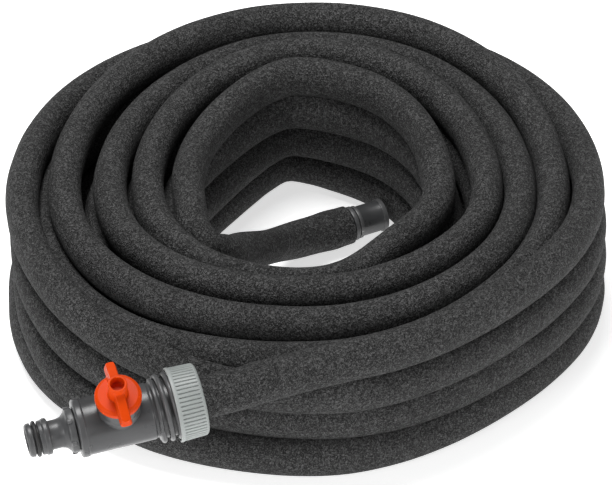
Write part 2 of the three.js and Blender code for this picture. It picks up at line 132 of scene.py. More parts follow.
# front, right, back and left distance of a layer's outermost and innermost turns
OUTERMOST = {
    1: (0.1357, 0.1420, 0.1420, 0.1405),
    2: (0.1303, 0.1430, 0.1480, 0.1400),
    3: (0.1344, 0.1430, 0.1420, 0.1430),
}
INNERMOST = {
    1: (0.0700, 0.0700, 0.0895, 0.0680),
    2: (0.0700, 0.0690, 0.0893, 0.0670),
    3: (0.0700, 0.0665, 0.0900, 0.0720),
}
# how far a layer's outer turns bulge at the front left and are cut short at the front right,
# and how far its inner turns are cut at the back right and the back left
LOWER_BULGE = {1: 0.05, 2: 0.06, 3: 0.09}
LOWER_CUT = 0.06
HOLE_CUT_RIGHT = -0.045
HOLE_CUT_LEFT = 0.075
# the hole's back wall comes to a soft corner, sharper further down; angles in degrees
CORNER_ANGLE = 98
CORNER_WIDTH = 15
CORNER_ROUND = 0.35
CORNER_REACH = 0.0750  # only turns narrower than this have the corner
CORNER_RISE = {0: 0.035, 1: 0.06, 2: 0.10, 3: 0.15}

# the lower turns as (column, layer), in the order in which the hose runs through them
LOWER_TURNS = [(0, 1), (0, 2), (0, 3), (1, 3), (1, 2), (2, 2), (2, 3), (3, 3), (3, 2)]
LOWER_TURNS += [(4, 3), (4, 2), (4, 1), (3, 1), (2, 1), (1, 1)]
# each turn: distances front, right, back, left; heights there; corner cuts from front right on
LEAD_TURN = ((0.1375, 0.1406, 0.1510, 0.1420), (0.0730, 0.0719, 0.0570, 0.0690), (0.065, -0.015, -0.01, 0))
TOP_TURNS = [
    ((0.1270, 0.1230, 0.1446, 0.1210), (0.0640, 0.0719, 0.0719, 0.0719), (0.03, -0.03, -0.02, 0)),
    ((0.1102, 0.1065, 0.1290, 0.0983), (0.0719, 0.0719, 0.0640, 0.0719), (0.03, -0.02, 0, 0)),
    ((0.0867, 0.0900, 0.1126, 0.0795), (0.0719, 0.0719, 0.0719, 0.0719), (0.05, -0.03, 0, 0)),
    ((0.0700, 0.0660, 0.0926, 0.0594), (0.0640, 0.0719, 0.0719, 0.0719), (0.14, -0.06, 0.045, 0)),
]
# distance and height at the left of the last lower turn, which climbs to the top layer
CLIMB = (0.1300, 0.0550)
COIL_START = 0.2  # quarter turns after the front at which the coil's own turns begin

# ---- mesh helpers --------------------------------------------------------------------------

SHARP = math.radians(32)
ON_AXIS = 1e-6
TURNED_SEGMENTS = 96
ROD_SEGMENTS = 64
FINE_ROUNDING = 0.1  # of seals, in millimetres as all roundings
SMALL_ROUNDING = 0.15
CORNER_SHARE = 0.42  # the most of an edge that a rounded corner takes up
THREAD_STEPS = 56  # along one turn of a thread
THREAD_SIDES = 12
THREAD_FADE = 0.12  # the share of a turn over which a thread runs out
THREAD_END = 0.12  # its thickness there, as a share
WELD = 1e-4
MOULD_VOXEL = 0.25
MOULD_ROUNDS = 3


def shade(bm):
    """Smooth faces, but for the sharp edges between them."""
    for face in bm.faces:
        face.smooth = True
    for edge in bm.edges:
        edge.smooth = edge.calc_face_angle(0) < SHARP


def mesh_object(name, bm):
    """The bmesh as a new object with its faces outward."""
    bmesh.ops.recalc_face_normals(bm, faces=bm.faces)
    shade(bm)
    mesh = bpy.data.meshes.new(name)
    bm.to_mesh(mesh)
    bm.free()
    result = bpy.data.objects.new(name, mesh)
    bpy.context.scene.collection.objects.link(result)
    return result


def loft(rings, closed_loop=False):
    """Quads between rings of equally many points; the ends are filled unless the loop closes."""
    bm = bmesh.new()
    rows = [[bm.verts.new(p) for p in ring] for ring in rings]
    pairs = list(zip(rows, rows[1:]))
    if closed_loop:
        pairs.append((rows[-1], rows[0]))
    for a, b in pairs:
        for i in range(len(a)):
            j = (i + 1) % len(a)
            bm.faces.new((a[i], a[j], b[j], b[i]))
    if not closed_loop:
        bm.faces.new(rows[0][::-1])
        bm.faces.new(rows[-1])
    return bm


def soften(loop, radius):
    """A closed outline with each corner off the axis rounded by a short curve."""
    result = []
    for i, point in enumerate(loop):
        here = Vector(point)
        if here.y < ON_AXIS:
            result.append(here)
            continue
        ends = []
        for other in (loop[i - 1], loop[(i + 1) % len(loop)]):
            leg = Vector(other) - here
            ends.append(here + leg.normalized() * min(radius, CORNER_SHARE * leg.length))
        middle = (ends[0] + ends[1]) / 4 + here / 2
        result += [ends[0], middle, ends[1]]
    return result


def turned(loop, rounding, segments=TURNED_SEGMENTS):
    """Closed body turned about x from a closed outline of (x, radius) points, in millimetres."""
    outline = soften(loop, rounding)
    on_axis = [p for p in outline if p.y < ON_AXIS]
    bm = bmesh.new()
    columns = []
    poles = {id(p): bm.verts.new((p.x, 0, 0)) for p in on_axis}
    for i in range(segments):
        angle = 2 * math.pi * i / segments
        c, s = math.cos(angle), math.sin(angle)
        column = [poles.get(id(p)) or bm.verts.new((p.x, p.y * c, p.y * s)) for p in outline]
        columns.append(column)
    for i, a in enumerate(columns):
        b = columns[(i + 1) % segments]
        for j in range(len(outline)):
            k = (j + 1) % len(outline)
            corners = [a[j], a[k], b[k], b[j]]
            distinct = [v for n, v in enumerate(corners) if v not in corners[:n]]
            if len(distinct) > 2:
                bm.faces.new(distinct)
    return bm


def washer(start, end, inner, outer):
    return turned([(start, inner), (start, outer), (end, outer), (end, inner)], FINE_ROUNDING)


def rod(start, end, radius):
    return turned([(start, 0), (start, radius), (end, radius), (end, 0)], SMALL_ROUNDING, ROD_SEGMENTS)


def upright(bm, station=0.0):
    """A body about x turned to stand along z, at a station on x."""
    bm.transform(Matrix.Translation((station, 0, 0)) @ Matrix.Rotation(-math.pi / 2, 4, "Y"))
    return bm


def rounded_block(size, centre, radius):
    bm = bmesh.new()
    bmesh.ops.create_cube(bm, size=1)
    bm.transform(Matrix.Translation(centre) @ Matrix.Diagonal((*size, 1)))
    bmesh.ops.bevel(bm, geom=bm.edges[:], offset=radius, segments=3, profile=0.5, affect="EDGES")
    return bm


def ridge(start, turns, pitch, radius, wire, phase=0.0):
    """Right-hand thread ridge about x; its ends run out over a share of a turn."""
    steps = int(THREAD_STEPS * turns)
    rings = []
    for i in range(steps + 1):
        t = i / steps
        angle = 2 * math.pi * (t * turns + phase)
        out = Vector((0, math.cos(angle), math.sin(angle)))
        end = min(1.0, THREAD_END + min(t, 1 - t) * turns / THREAD_FADE * (1 - THREAD_END))
        centre = Vector((start + t * turns * pitch, 0, 0)) + out * (radius - (1 - end) * wire)
        ring = []
        for k in range(THREAD_SIDES):
            a = 2 * math.pi * k / THREAD_SIDES
            along = Vector((math.cos(a) * wire * end, 0, 0))
            ring.append(centre + along + out * math.sin(a) * wire * end)
        rings.append(ring)
    return loft(rings)


def apply_modifiers(target):
    """The object's own mesh as its modifiers leave it."""
    graph = bpy.context.evaluated_depsgraph_get()
    mesh = bpy.data.meshes.new_from_object(target.evaluated_get(graph))
    old = target.data
    target.modifiers.clear()
    target.data = mesh
    bpy.data.meshes.remove(old)


def combine(target, other, operation):
    """Union or difference of two closed objects, applied; the second one is removed."""
    modifier = target.modifiers.new("combine", "BOOLEAN")
    modifier.operation = operation
    modifier.solver = "EXACT"
    modifier.object = other
    apply_modifiers(target)
    bpy.data.objects.remove(other)
    return target


def add(target, bm):
    return combine(target, mesh_object("part", bm), "UNION")


def cut(target, bm):
    return combine(target, mesh_object("part", bm), "DIFFERENCE")


def reshade(target):
    """Welds and shades a piece again after its solids were combined."""
    bm = bmesh.new()
    bm.from_mesh(target.data)
    bmesh.ops.remove_doubles(bm, verts=bm.verts, dist=WELD)
    shade(bm)
    bm.to_mesh(target.data)
    bm.free()
    return target


def moulded(target):
    """The union of a piece's parts with soft inside corners, as plastic leaves the mould."""
    remesh = target.modifiers.new("union", "REMESH")
    remesh.mode = "VOXEL"
    remesh.voxel_size = MOULD_VOXEL
    smooth = target.modifiers.new("soft", "SMOOTH")
    smooth.factor = 0.5
    smooth.iterations = MOULD_ROUNDS
    apply_modifiers(target)
    for polygon in target.data.polygons:
        polygon.use_smooth = True
    return target


def joined(*parts):
    """Several bmeshes as one, still separate shells."""
    whole = bmesh.new()
    for part in parts:
        mesh = bpy.data.meshes.new("part")
        part.to_mesh(mesh)
        part.free()
        whole.from_mesh(mesh)
        bpy.data.meshes.remove(mesh)
    return whole


# ---- materials -----------------------------------------------------------------------------


class Nodes:
    """Short calls for building one material's nodes in object coordinates."""

    def __init__(self, name):
        self.material = bpy.data.materials.new(name)
        self.material.use_nodes = True
        self.tree = self.material.node_tree
        self.shader = self.tree.nodes["Principled BSDF"]
        self.place = self.new("ShaderNodeTexCoord").outputs["Object"]

    def new(self, kind, **values):
        node = self.tree.nodes.new(kind)
        for key, value in values.items():
            setattr(node, key, value)
        return node

    def link(self, source, target):
        self.tree.links.new(source, target)

    def noise(self, scale, detail=2.0, roughness=0.5):
        node = self.new("ShaderNodeTexNoise")
        node.inputs["Scale"].default_value = scale
        node.inputs["Detail"].default_value = detail
        node.inputs["Roughness"].default_value = roughness
        self.link(self.place, node.inputs["Vector"])
        return node.outputs["Fac"]

    def granules(self, scale):
        """Outputs of a cell pattern: a tone for each cell, the distance from its centre."""
        node = self.new("ShaderNodeTexVoronoi")
        node.inputs["Scale"].default_value = scale
        self.link(self.place, node.inputs["Vector"])
        return node.outputs

    def ramp(self, factor, *stops):
        node = self.new("ShaderNodeValToRGB")
        elements = node.color_ramp.elements
        while len(elements) < len(stops):
            elements.new(0.5)
        for element, (position, colour) in zip(elements, stops):
            element.position = position
            element.color = (*colour, 1)
        self.link(factor, node.inputs["Fac"])
        return node.outputs["Color"]

    def span(self, factor, low, high, start=0.3, end=0.7):
        node = self.new("ShaderNodeMapRange")
        node.inputs["From Min"].default_value = start
        node.inputs["From Max"].default_value = end
        node.inputs["To Min"].default_value = low
        node.inputs["To Max"].default_value = high
        self.link(factor, node.inputs["Value"])
        return node.outputs["Result"]

    def mix(self, factor, first, second, mode="MIX"):
        node = self.new("ShaderNodeMix", data_type="RGBA", blend_type=mode)
        if isinstance(factor, float):
            node.inputs["Factor"].default_value = factor
        else:
            self.link(factor, node.inputs["Factor"])
        self.link(first, node.inputs["A"])
        self.link(second, node.inputs["B"])
        return node.outputs["Result"]

    def bump(self, height, strength, distance, under=None):
        node = self.new("ShaderNodeBump")
        node.inputs["Strength"].default_value = strength
        node.inputs["Distance"].default_value = distance
        self.link(height, node.inputs["Height"])
        if under is not None:
            self.link(under, node.inputs["Normal"])
        return node.outputs["Normal"]

    def convexity(self):
        """About 0.5 on flat faces, more on outward edges, less in grooves."""
        return self.new("ShaderNodeNewGeometry").outputs["Pointiness"]

    def finish(self, colour, roughness, normal):
        self.link(colour, self.shader.inputs["Base Color"])
        self.link(roughness, self.shader.inputs["Roughness"])
        self.link(normal, self.shader.inputs["Normal"])
        return self.material


def grey(value):
    return (value, value, value)


# how fine the materials' patterns are, per metre
CRUMB_SCALE = 1050
SPECKLE_SCALE = 1700
PATCH_SCALE = 28
FLOW_SCALE = 60
SATIN_SCALE = 900
SCUFF_SCALE = 140
SEAL_SCALE = 180
SEAL_GRAIN_SCALE = 1400
GRAIN_DEPTH = 0.0007
SATIN_DEPTH = 0.0002
SCUFF_DEPTH = 0.0004
# the convexity over which an edge takes its painted highlight and a groove its painted shade
EDGE_HIGHLIGHT_FROM, EDGE_HIGHLIGHT_TO = 0.52, 0.60
GROOVE_SHADE_FROM, GROOVE_SHADE_TO = 0.42, 0.49
EDGE_HIGHLIGHT_SHARE = 0.55


def porous_rubber():
    """Recycled-rubber granules pressed together: matt, speckled, with small pits."""
    n = Nodes("porous_rubber")
    fine = n.noise(SPECKLE_SCALE, 3, 0.6)
    patches = n.noise(PATCH_SCALE, 3, 0.5)
    crumbs = n.granules(CRUMB_SCALE)
    crumb_tone = n.ramp(crumbs["Color"], (0.22, grey(0.006)), (0.55, grey(0.027)), (0.85, grey(0.118)))
    speckle = n.ramp(fine, (0.38, grey(0.005)), (0.50, grey(0.027)), (0.62, grey(0.175)))
    surface = n.mix(0.5, crumb_tone, speckle)
    tone = n.ramp(patches, (0.30, grey(0.80)), (0.70, grey(1.0)))
    colour = n.mix(1.0, surface, tone, "MULTIPLY")
    relief = n.bump(crumbs["Distance"], 0.7, GRAIN_DEPTH)
    rough = n.bump(fine, 0.8, GRAIN_DEPTH, relief)
    n.shader.inputs["Specular IOR Level"].default_value = 0.25
    return n.finish(colour, n.span(fine, 0.72, 0.95), rough)


def plastic(name, dark, light, roughness, gloss=0.5, edge=None, groove=None):
    """Moulded plastic: faint flow marks, a fine satin texture, a painted highlight on its outward edges
    and painted shade in its grooves.
    """
    n = Nodes(name)
    flow = n.noise(FLOW_SCALE, 3, 0.55)
    colour = n.ramp(flow, (0.35, dark), (0.65, light))
    # edge: the colour of a painted highlight laid on outward edges
    if edge is not None:
        share = n.span(n.convexity(), 0.0, EDGE_HIGHLIGHT_SHARE, EDGE_HIGHLIGHT_FROM, EDGE_HIGHLIGHT_TO)
        colour = n.mix(share, colour, n.ramp(flow, (0.0, edge), (1.0, edge)))
    # groove: the colour of painted shade laid in grooves and inside corners
    if groove is not None:
        share = n.span(n.convexity(), 1.0, 0.0, GROOVE_SHADE_FROM, GROOVE_SHADE_TO)
        colour = n.mix(share, colour, n.ramp(flow, (0.0, groove), (1.0, groove)))
    satin = n.bump(n.noise(SATIN_SCALE, 2, 0.5), 0.12, SATIN_DEPTH)
    scuffs = n.bump(n.noise(SCUFF_SCALE, 4, 0.7), 0.06, SCUFF_DEPTH, satin)
    n.shader.inputs["Specular IOR Level"].default_value = gloss
    return n.finish(colour, n.span(flow, roughness - 0.06, roughness + 0.08), scuffs)


def seal_rubber():
    n = Nodes("seal_rubber")
    flow = n.noise(SEAL_SCALE, 3, 0.6)
    colour = n.ramp(flow, (0.3, grey(0.008)), (0.7, grey(0.022)))
    grain = n.bump(n.noise(SEAL_GRAIN_SCALE, 2), 0.15, SATIN_DEPTH)
    return n.finish(colour, n.span(flow, 0.42, 0.62), grain)


RUBBER = porous_rubber()
SEAL = seal_rubber()
# in each plastic, the edge colour is a painted highlight and the groove colour is painted shade
GREY = plastic(
    "grey_plastic", (0.050, 0.051, 0.053), (0.064, 0.065, 0.067), 0.30,
    gloss=0.45, edge=grey(0.17), groove=grey(0.02),
)
LIGHT = plastic(
    "light_grey_plastic", (0.285, 0.308, 0.300), (0.325, 0.350, 0.340), 0.42,
    gloss=0.4, edge=grey(0.42), groove=grey(0.15),
)
ORANGE = plastic(
    "orange_plastic", (0.60, 0.048, 0.001), (0.69, 0.060, 0.003), 0.4,
    gloss=0.1, edge=(0.95, 0.11, 0.01), groove=(0.32, 0.020, 0.001),
)
DARK = plastic(
    "dark_plastic", (0.040, 0.041, 0.042), (0.052, 0.053, 0.055), 0.3, edge=grey(0.40),
)
WHITE = plastic("white_plastic", (0.60, 0.60, 0.57), (0.68, 0.68, 0.65), 0.5)

# ---- placing a finished piece --------------------------------------------------------------


def settle(piece, material, body, slot, *nodes, place=None):
    """The piece in its place and material, riding on its body and standing for its CAD nodes."""
    if place is not None:
        piece.data.transform(place)
    piece.data.materials.clear()
    piece.data.materials.append(material)
    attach(piece, body)
    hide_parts(*nodes)
    return piece


# ---- hose ----------------------------------------------------------------------------------


def lower_turn(column, layer):
    """Distances, heights and corner cuts of one turn below the top layer."""
    inward = column / COLUMNS
    distances = [o + (i - o) * inward for o, i in zip(OUTERMOST[layer], INNERMOST[layer])]
    front_right = LOWER_CUT * (1 - inward)
    back_right = HOLE_CUT_RIGHT * inward
    back_left = HOLE_CUT_LEFT * inward
    front_left = -LOWER_BULGE[layer] * (1 - inward)
    return distances, [LAYER_HEIGHTS[layer]] * 4, (front_right, back_right, back_left, front_left)


def coil_turns():
    """All turns in the hose's order, the last lower one bent towards the top layer."""
    lower = [lower_turn(column, layer) for column, layer in LOWER_TURNS]
    last_distances, last_heights, _ = lower[-1]
    last_distances[3], last_heights[3] = CLIMB
    return [LEAD_TURN, *lower, *TOP_TURNS]


def eased(values, t):
    """Smooth curve through equally spaced values."""
    t = min(max(t, 0.0), len(values) - 1.0)
    i = min(int(t), len(values) - 2)
    u = t - i
    a, b, c, d = (values[min(max(k, 0), len(values) - 1)] for k in range(i - 1, i + 3))
    cubic = 3 * b - a - 3 * c + d
    return b + 0.5 * u * ((c - a) + u * ((2 * a - 5 * b + 4 * c - d) + u * cubic))


def coil_points():
    """The coil's own turns, anticlockwise from the front, as points from the coil's centre."""
    turns = coil_turns()
    distances = [d for turn in turns for d in turn[0]]
    heights = [h for turn in turns for h in turn[1]]
    across, along = distances[1::2], distances[0::2]
    layers = [0] + [layer for _, layer in LOWER_TURNS] + [0] * len(TOP_TURNS)
    last = len(distances) - 1
    count = int(round((last - COIL_START) * TURN_STEPS / 4))
    points = []
    for i in range(count):
        quarter = COIL_START + 4 * i / TURN_STEPS
        angle = math.radians(90 * quarter - 90)
        half_x = eased(across, (quarter - 1) / 2)
        half_y = eased(along, quarter / 2)
        turn, corner = divmod(int(quarter), 4)
        scale = 1 - turns[turn][2][corner] * math.sin(2 * angle) ** 2
        if half_x < CORNER_REACH:
            off = math.hypot((math.degrees(angle) % 360 - CORNER_ANGLE) / CORNER_WIDTH, CORNER_ROUND)
            scale += CORNER_RISE[layers[turn]] * math.exp(CORNER_ROUND - off)
        x, y = half_x * math.cos(angle) * scale, half_y * math.sin(angle) * scale
        points.append(Vector((x, y, max(eased(heights, quarter), LAYER_HEIGHTS[-1]))))
    return points


def hose_route():
    """Route points from inside the nut, through the coil, to the tail plug."""
    lead = [FITTING @ Vector((x, 0, 0)) for x in LEAD_STATIONS]
    middle = [*map(Vector, LEAD_BEND), *coil_points(), *map(Vector, TAIL_ROUTE)]
    tail = [TAIL @ Vector((x, 0, 0)) for x in TAIL_STATIONS]
    return lead + [COIL_CENTRE + p for p in middle] + tail


def smooth_line(points, spacing):
    """Centripetal curve through the points, cut into even steps."""
    ends = [2 * points[0] - points[1], *points, 2 * points[-1] - points[-2]]
    fine = []
    for p0, p1, p2, p3 in zip(ends, ends[1:], ends[2:], ends[3:]):
        t1 = math.sqrt((p1 - p0).length)
        t2 = t1 + math.sqrt((p2 - p1).length)
        t3 = t2 + math.sqrt((p3 - p2).length)
        for k in range(CURVE_STEPS):
            t = t1 + (t2 - t1) * k / CURVE_STEPS
            a1 = p0.lerp(p1, t / t1)
            a2 = p1.lerp(p2, (t - t1) / (t2 - t1))
            a3 = p2.lerp(p3, (t - t2) / (t3 - t2))
            b1 = a1.lerp(a2, t / t2)
            b2 = a2.lerp(a3, (t - t1) / (t3 - t1))
            fine.append(b1.lerp(b2, (t - t1) / (t2 - t1)))
    fine.append(points[-1])
    even = [fine[0]]
    left = spacing
    for a, b in zip(fine, fine[1:]):
        step = (b - a).length
        done = 0.0
        while step - done > left:
            done += left
            even.append(a.lerp(b, done / step))
            left = spacing
        left -= step - done
    even[-1] = fine[-1]
    return even


def bell(value, middle, width):
    return math.exp(-(((value - middle) / width) ** 2))


def hose_rings(line):
    """Rings round the line: round near the ends, upright ovals in the coil, slightly uneven."""
    length = RING_SPACING * (len(line) - 1)
    rings = []
    for i, centre in enumerate(line):
        tangent = (line[min(i + 1, len(line) - 1)] - line[max(i - 1, 0)]).normalized()
        side = tangent.cross(Vector((0, 0, 1))).normalized()
        rise = side.cross(tangent)
        along = i * RING_SPACING
        from_end = length - along
        oval = min(max((min(along, from_end) - OVAL_FROM) / OVAL_OVER, 0.0), 1.0)
        oval = oval * oval * (3 - 2 * oval)
        uneven = sum(depth * math.sin(along * rate + phase) for depth, rate, phase in WAVES)
        swell = SWELL * bell(from_end, SWELL_FROM_END, SWELL_WIDTH)
        swell -= PINCH * bell(from_end, PINCH_FROM_END, PINCH_WIDTH)
        half_width = HOSE_RADIUS + (COILED_HALF_WIDTH - HOSE_RADIUS) * oval + swell + uneven
        half_height = HOSE_RADIUS + (COILED_HALF_HEIGHT - HOSE_RADIUS) * oval + swell - uneven
        ring = []
        for k in range(RING_SIDES):
            angle = 2 * math.pi * k / RING_SIDES
            across = side * math.cos(angle) * half_width
            ring.append(centre + across + rise * math.sin(angle) * half_height)
        rings.append(ring)
    return rings


def shrunk(ring, centre, radius, shift):
    """The same ring drawn in to a radius and moved by a shift."""
    return [centre + (p - centre).normalized() * radius + shift for p in ring]


def soaker_hose():
    """The hose with an open bore at each end, its centre line and its length."""
    line = smooth_line(hose_route(), RING_SPACING)
    rings = hose_rings(line)
    ends = ((rings[0], line[0], line[BORE_RINGS]), (rings[-1], line[-1], line[-1 - BORE_RINGS]))
    mouths = []
    for ring, centre, inside in ends:
        mouth = shrunk(ring, centre, HOSE_BORE_RADIUS, Vector())
        bottom = shrunk(ring, centre, HOSE_BORE_RADIUS, inside - centre)
        mouths.append((mouth, bottom))
    (near_mouth, near_bottom), (far_mouth, far_bottom) = mouths
    hose = mesh_object("soaker_hose", loft([near_bottom, near_mouth, *rings, far_mouth, far_bottom]))
    length = sum((b - a).length for a, b in zip(line, line[1:]))
    settle(hose, RUBBER, ROOT, "hose_rubber", "hose_coil", "hose_lead", "hose_tail")
    return hose, line, length


# ---- inlet fitting, in its own millimetres -------------------------------------------------

TIP = 84
SPIGOT_REAR = TIP - 23.0
NECK_RADIUS = 6.9
NIPPLE_RADIUS = 8.2
NIPPLE_BORE_RADIUS = 5.6
COLLAR_RADIUS = 8.7
SHANK_RADIUS = 7.6
LUGS = 6
LUG_SIZE = (2.6, 2.4, 3.2)
LUG_CENTRE = (TIP - 20.9, 0, 9.65)
LUG_TURN = -5  # degrees
O_RING_STATION = TIP - 4.5
O_RING_RADIUS = 7.75
O_RING_WIRE = 0.95
O_RING_SIDES = 16
FLOW_RADIUS = 4.2
BODY_RADIUS = 13.5
BODY_RIM_RADIUS = BODY_RADIUS + 0.45
BODY_REAR = 8
BODY_START = 24.4
BODY_END = 60.4
THREAD_ROOT_RADIUS = 14
BARB_SOCKET_RADIUS = 11.9
BARB_SOCKET_END = 26.4
SPIGOT_SOCKET_RADIUS = 8
SPIGOT_SOCKET_END = BODY_END - 8.4
SHANK_END = BODY_END - 8
FLAT_SEAL_INNER = 7.9
FLAT_SEAL_OUTER = 9.8
KNOB_STATION = 39.4
CORE_RADIUS = 7.4
CORE_BOTTOM = -9.8
PORT_SEAL_RADIUS = 5.9
PORT_SEAL_NEAR = 7  # from the knob's axis
PORT_SEAL_FAR = 9.6
BOSS_RADIUS = 10.2
BOSS_TOP = 19.3
RETAINER_RADIUS = 9.1
RETAINER_BOTTOM = BOSS_TOP - 2.2
RETAINER_TOP = BOSS_TOP - 0.7
CLAMP_PITCH = 4
CLAMP_THREAD_START = BODY_REAR + 1.6
CLAMP_THREAD_TURNS = 3.1
CLAMP_THREAD_RADIUS = 15
CLAMP_THREAD_WIRE = 1.3


def spigot():
    outline = [(TIP, 6.1), (TIP, 7.1), (TIP - 0.9, 8), (TIP - 2.9, 8.1), (TIP - 2.9, NECK_RADIUS)]
    outline += [(TIP - 6.1, NECK_RADIUS), (TIP - 6.1, NIPPLE_RADIUS), (TIP - 8.0, NIPPLE_RADIUS)]
    outline += [(TIP - 8.3, COLLAR_RADIUS), (TIP - 10.3, COLLAR_RADIUS), (TIP - 10.9, 8.0)]
    outline += [(TIP - 11, NECK_RADIUS), (TIP - 15.2, NECK_RADIUS), (TIP - 17.4, 7.5)]
    outline += [(TIP - 19.2, 9.2), (TIP - 19.9, 10.6), (SPIGOT_REAR, 10.9)]
    outline += [(SPIGOT_REAR, SHANK_RADIUS), (SHANK_END, SHANK_RADIUS), (SHANK_END, FLOW_RADIUS)]
    outline += [(TIP - 14, FLOW_RADIUS), (TIP - 12, NIPPLE_BORE_RADIUS), (TIP - 0.8, NIPPLE_BORE_RADIUS)]
    piece = mesh_object("inlet_spigot", turned(outline, 0.45))
    for lug in range(LUGS):
        block = rounded_block(LUG_SIZE, LUG_CENTRE, 0.5)
        block.transform(Matrix.Rotation(math.radians(360 / LUGS * lug + LUG_TURN), 4, "X"))
        add(piece, block)
    return settle(reshade(piece), GREY, ROOT, "grey_plastic", "spigot", place=FITTING)


def spigot_o_ring():
    rings = []
    for i in range(TURNED_SEGMENTS):
        angle = 2 * math.pi * i / TURNED_SEGMENTS
        out = Vector((0, math.cos(angle), math.sin(angle)))
        ring = []
        for k in range(O_RING_SIDES):
            a = 2 * math.pi * k / O_RING_SIDES
            radius = O_RING_RADIUS + O_RING_WIRE * math.sin(a)
            ring.append(Vector((O_RING_STATION + O_RING_WIRE * math.cos(a), 0, 0)) + out * radius)
        rings.append(ring)
    piece = mesh_object("spigot_seal_ring", loft(rings, closed_loop=True))
    return settle(piece, SEAL, ROOT, "seal_rubber", "spigot_o_ring", place=FITTING)


def spigot_seal():
    ring = washer(BODY_END + 0.1, SPIGOT_REAR - 0.05, FLAT_SEAL_INNER, FLAT_SEAL_OUTER)
    piece = mesh_object("flat_spigot_seal", ring)
    return settle(piece, SEAL, ROOT, "seal_rubber", "spigot_seal", place=FITTING)


def valve_housing():
    outline = [(BODY_REAR, BARB_SOCKET_RADIUS), (BODY_REAR, 13.4), (BODY_REAR + 0.7, THREAD_ROOT_RADIUS)]
    outline += [(BODY_START - 3.2, THREAD_ROOT_RADIUS), (BODY_START - 3.0, 14.9)]
    outline += [(BODY_START - 1.6, 14.9), (BODY_START - 1.2, 13.1), (BODY_START, 13.0)]
    outline += [(BODY_START + 0.5, BODY_RADIUS), (BODY_END - 3.8, BODY_RADIUS - 0.1)]
    outline += [(BODY_END - 3.5, BODY_RIM_RADIUS), (BODY_END - 0.7, BODY_RIM_RADIUS)]
    outline += [(BODY_END, BODY_RADIUS - 0.5), (BODY_END, SPIGOT_SOCKET_RADIUS)]
    outline += [(SPIGOT_SOCKET_END, SPIGOT_SOCKET_RADIUS), (SPIGOT_SOCKET_END, FLOW_RADIUS)]
    outline += [(BARB_SOCKET_END, FLOW_RADIUS), (BARB_SOCKET_END, BARB_SOCKET_RADIUS)]
    piece = mesh_object("valve_body", turned(outline, 0.4))
    boss = [(0, 0), (0, BOSS_RADIUS), (12.6, BOSS_RADIUS + 0.5), (13.9, BOSS_RADIUS)]
    boss += [(BOSS_TOP, BOSS_RADIUS), (BOSS_TOP, 0)]
    add(piece, upright(turned(boss, 0.4), KNOB_STATION))
    turns = CLAMP_THREAD_TURNS
    add(piece, ridge(CLAMP_THREAD_START, turns, CLAMP_PITCH, CLAMP_THREAD_RADIUS, CLAMP_THREAD_WIRE))
    cut(piece, upright(rod(CORE_BOTTOM, BOSS_TOP + 1, CORE_RADIUS + 0.4), KNOB_STATION))
    cut(piece, upright(rod(RETAINER_BOTTOM, RETAINER_TOP, RETAINER_RADIUS), KNOB_STATION))
    for side in (-1, 1):
        ends = sorted(KNOB_STATION + side * reach for reach in (PORT_SEAL_NEAR, PORT_SEAL_FAR))
        cut(piece, rod(*ends, PORT_SEAL_RADIUS))
    return settle(reshade(piece), GREY, ROOT, "grey_plastic", "valve_housing", place=FITTING)


KNOB_BASE = 19.9
KNOB_SKIRT_TOP = 23.9
KNOB_TOP = 34.3
KNOB_RADIUS = 11
HUB_RADIUS = 4.6
HUB_HOLE_RADIUS = 3.3
HUB_HOLE_DEPTH = 5
SOCKET_RADIUS = 3.9
SOCKET_TOP = KNOB_TOP - 6.4
WING_BASE = KNOB_BASE + 2.4
WING_REACH = 16.6
WING_BASE_HALF = 3.0
WING_TOP_HALF = 2.0
WING_START = HUB_HOLE_RADIUS + 0.6
WING_LEAN = 0.6  # how much shorter the wing is at its top
WING_TIP_TOP = 26.2
WING_HUB_TOP = 31.2
WING_LEVELS = 8
WING_END_STEPS = 16


def wing(side):
    """One wing of the grip bar: round-ended, narrower at the top, falling away from the hub."""
    rings = []
    for level in range(WING_LEVELS + 1):
        up = level / WING_LEVELS
        half = WING_BASE_HALF + (WING_TOP_HALF - WING_BASE_HALF) * up
        reach = WING_REACH - WING_LEAN * up
        outline = [(WING_START, -half), (WING_START, half)]
        for k in range(WING_END_STEPS + 1):
            a = math.pi / 2 - math.pi * k / WING_END_STEPS
            far = reach - half + half * math.sqrt(abs(math.cos(a)))
            outline.append((far, half * math.copysign(math.sqrt(abs(math.sin(a))), math.sin(a))))
        ring = []
        for far, across in outline:
            slope = (far - HUB_RADIUS) / (WING_REACH - HUB_RADIUS)
            top = WING_HUB_TOP + (WING_TIP_TOP - WING_HUB_TOP) * max(slope, 0.0)
            ring.append((across * side, far * side, WING_BASE + (top - WING_BASE) * up))
        rings.append(ring)
    bm = loft(rings)
    bmesh.ops.recalc_face_normals(bm, faces=bm.faces)
    return bm


def valve_knob():
    cup = [(KNOB_BASE, SOCKET_RADIUS), (KNOB_BASE, KNOB_RADIUS - 0.4), (KNOB_BASE + 0.5, KNOB_RADIUS)]
    cup += [(KNOB_SKIRT_TOP - 1.1, KNOB_RADIUS), (KNOB_SKIRT_TOP, KNOB_RADIUS - 1.4)]
    cup += [(KNOB_SKIRT_TOP + 0.2, HUB_RADIUS), (KNOB_TOP - 0.4, HUB_RADIUS)]
    cup += [(KNOB_TOP, HUB_RADIUS - 0.3), (KNOB_TOP, HUB_HOLE_RADIUS)]
    cup += [(KNOB_TOP - HUB_HOLE_DEPTH, HUB_HOLE_RADIUS), (KNOB_TOP - HUB_HOLE_DEPTH, 0)]
    cup += [(SOCKET_TOP, 0), (SOCKET_TOP, SOCKET_RADIUS)]
    body = upright(turned(cup, 0.3))
    piece = mesh_object("winged_knob", joined(body, wing(1), wing(-1)))
    moulded(piece)
    return settle(piece, ORANGE, "knob", "orange_plastic", "valve_knob", place=KNOB)


